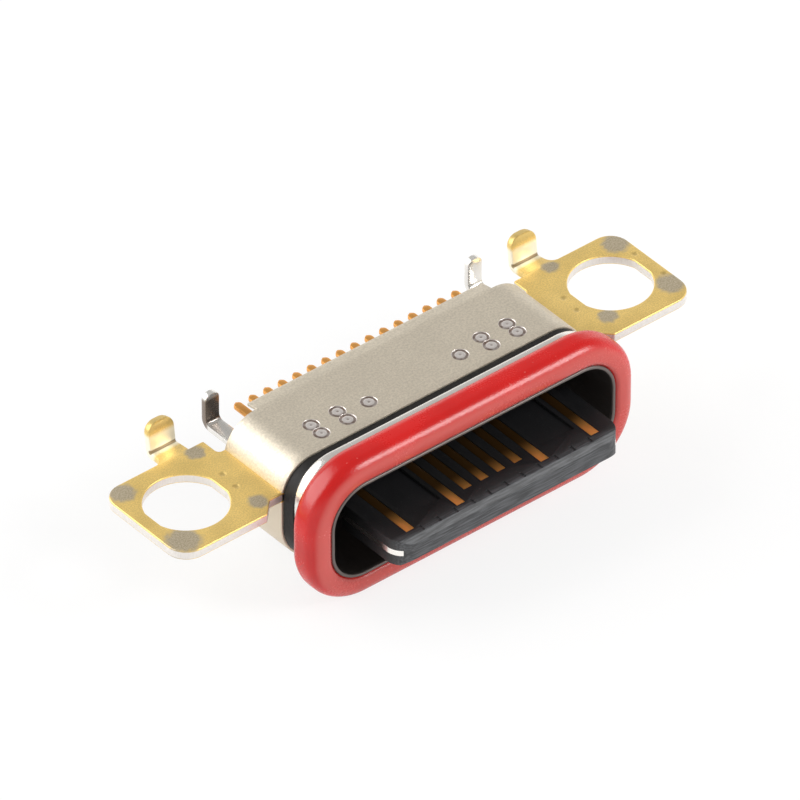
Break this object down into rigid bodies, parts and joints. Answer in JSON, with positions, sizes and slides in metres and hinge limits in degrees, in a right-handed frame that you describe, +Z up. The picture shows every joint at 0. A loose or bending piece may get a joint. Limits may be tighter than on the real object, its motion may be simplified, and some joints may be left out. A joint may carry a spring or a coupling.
{
  "type": "sealed usb-c socket",
  "caption": "Sealed USB-C receptacle sunk in a board cutout: red silicone seal round the port, black tongue with gold contacts, nickel cover and gold-plated screw ears.",
  "frame": {"origin": "midway between the two ear screw holes, on the ears' upper face, where the board seats", "axes": "+X across the port to the right ear, +Y back towards the solder tails, +Z up out of the board; the port opens towards -Y"},
  "size_m": [0.0154, 0.0064, 0.0038],
  "materials": {
    "stainless": "bright drawn stainless steel",
    "satin_nickel": "satin nickel plating",
    "gold_plate": "satin gold flash over nickel",
    "contact_gold": "gold-plated copper alloy",
    "silicone": "glossy red silicone",
    "black_moulding": "fine satin black moulding",
    "sealant": "black sealing compound"
  },
  "bodies": {
    "root": {"front_shell": "stainless", "seal_ring": "silicone", "sealant_bead": "sealant", "side_sealant": "sealant", "top_cover": "satin_nickel", "mounting_bracket": "gold_plate", "tongue_body": "black_moulding", "mid_plate": "stainless", "upper_carrier": "black_moulding", "lower_carrier": "black_moulding", "upper_ground_pad": "stainless", "lower_ground_pad": "stainless", "rear_potting": "sealant", "contact_a1": "contact_gold", "contact_a4": "contact_gold", "contact_a5": "contact_gold", "contact_a6": "contact_gold", "contact_a7": "contact_gold", "contact_a8": "contact_gold", "contact_a9": "contact_gold", "contact_a12": "contact_gold", "contact_b1": "contact_gold", "contact_b4": "contact_gold", "contact_b5": "contact_gold", "contact_b6": "contact_gold", "contact_b7": "contact_gold", "contact_b8": "contact_gold", "contact_b9": "contact_gold", "contact_b12": "contact_gold"}
  },
  "joints": []
}
